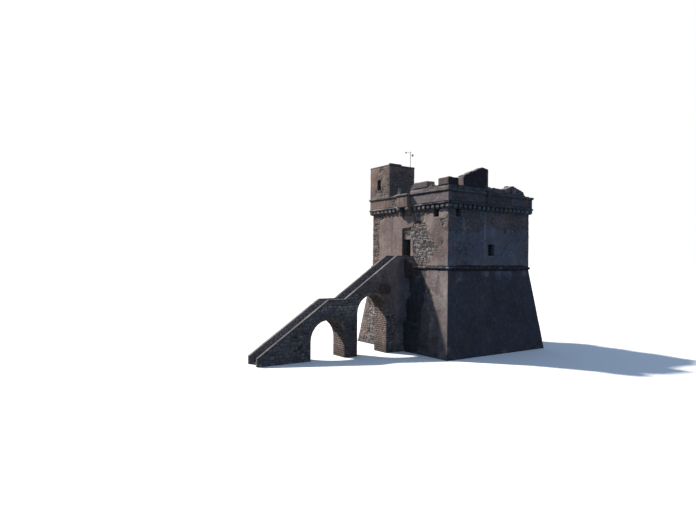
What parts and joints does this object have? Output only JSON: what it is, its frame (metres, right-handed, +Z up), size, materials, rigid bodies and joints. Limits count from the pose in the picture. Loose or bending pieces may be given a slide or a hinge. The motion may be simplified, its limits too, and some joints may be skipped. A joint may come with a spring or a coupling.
{
  "type": "coastal watchtower",
  "caption": "Square stone coastal watchtower: battered base, corbelled parapet with ruined merlons, corner guard turret, and an outside stair over arches to a raised gated doorway.",
  "frame": {"origin": "the centre of the tower's square base, at the level of the lowest ground that the masonry meets", "axes": "+Z up; -Y is the entrance side, where the stair runs out; +X is to the right when facing the entrance"},
  "size_m": [14.38, 30.56, 21.61],
  "materials": {
    "limewash": "matte",
    "rubble": "matte",
    "dressed_stone": "matte",
    "tufa": "matte",
    "paving": "matte",
    "iron": "matte",
    "steel": "satin"
  },
  "bodies": {
    "tower": {"battered_base": "limewash", "string_course": "dressed_stone", "front_wall_left": "limewash", "front_wall_right": "rubble", "front_wall_over_door": "limewash", "door_sill": "paving", "door_frame": "dressed_stone", "right_wall": "rubble", "back_wall": "rubble", "left_wall": "rubble", "main_floor": "paving", "vault": "limewash", "terrace_floor": "paving", "front_corbels": "dressed_stone", "side_corbels": "dressed_stone", "front_parapet_left": "limewash", "front_parapet_right": "limewash", "right_parapet": "rubble", "back_parapet": "rubble", "left_parapet": "rubble", "roll_moulding": "dressed_stone", "cornice": "dressed_stone", "door_box": "limewash", "door_box_corbels": "dressed_stone", "front_merlons": "limewash", "sloping_merlon": "rubble", "rear_merlons": "rubble", "broken_merlons": "rubble", "turret_walls": "rubble", "turret_roof": "paving", "mast": "steel", "stair_foot": "rubble", "middle_pier": "tufa", "stair_head": "rubble", "lower_arch": "tufa", "upper_arch": "tufa", "lower_spandrel": "rubble", "upper_spandrel": "rubble", "lower_steps": "paving", "upper_steps": "paving", "stair_landings": "paving", "stair_guards": "rubble", "stair_copings": "dressed_stone", "gate_pintles": "iron"},
    "gate": {"gate_leaf": "iron"}
  },
  "joints": [
    {"name": "gate_hinge", "type": "hinge", "parent": "tower", "child": "gate", "pos_m": [-0.58, -5.49, 9.555], "axis": [0, 0, 1], "range_deg": [0, 90]}
  ]
}
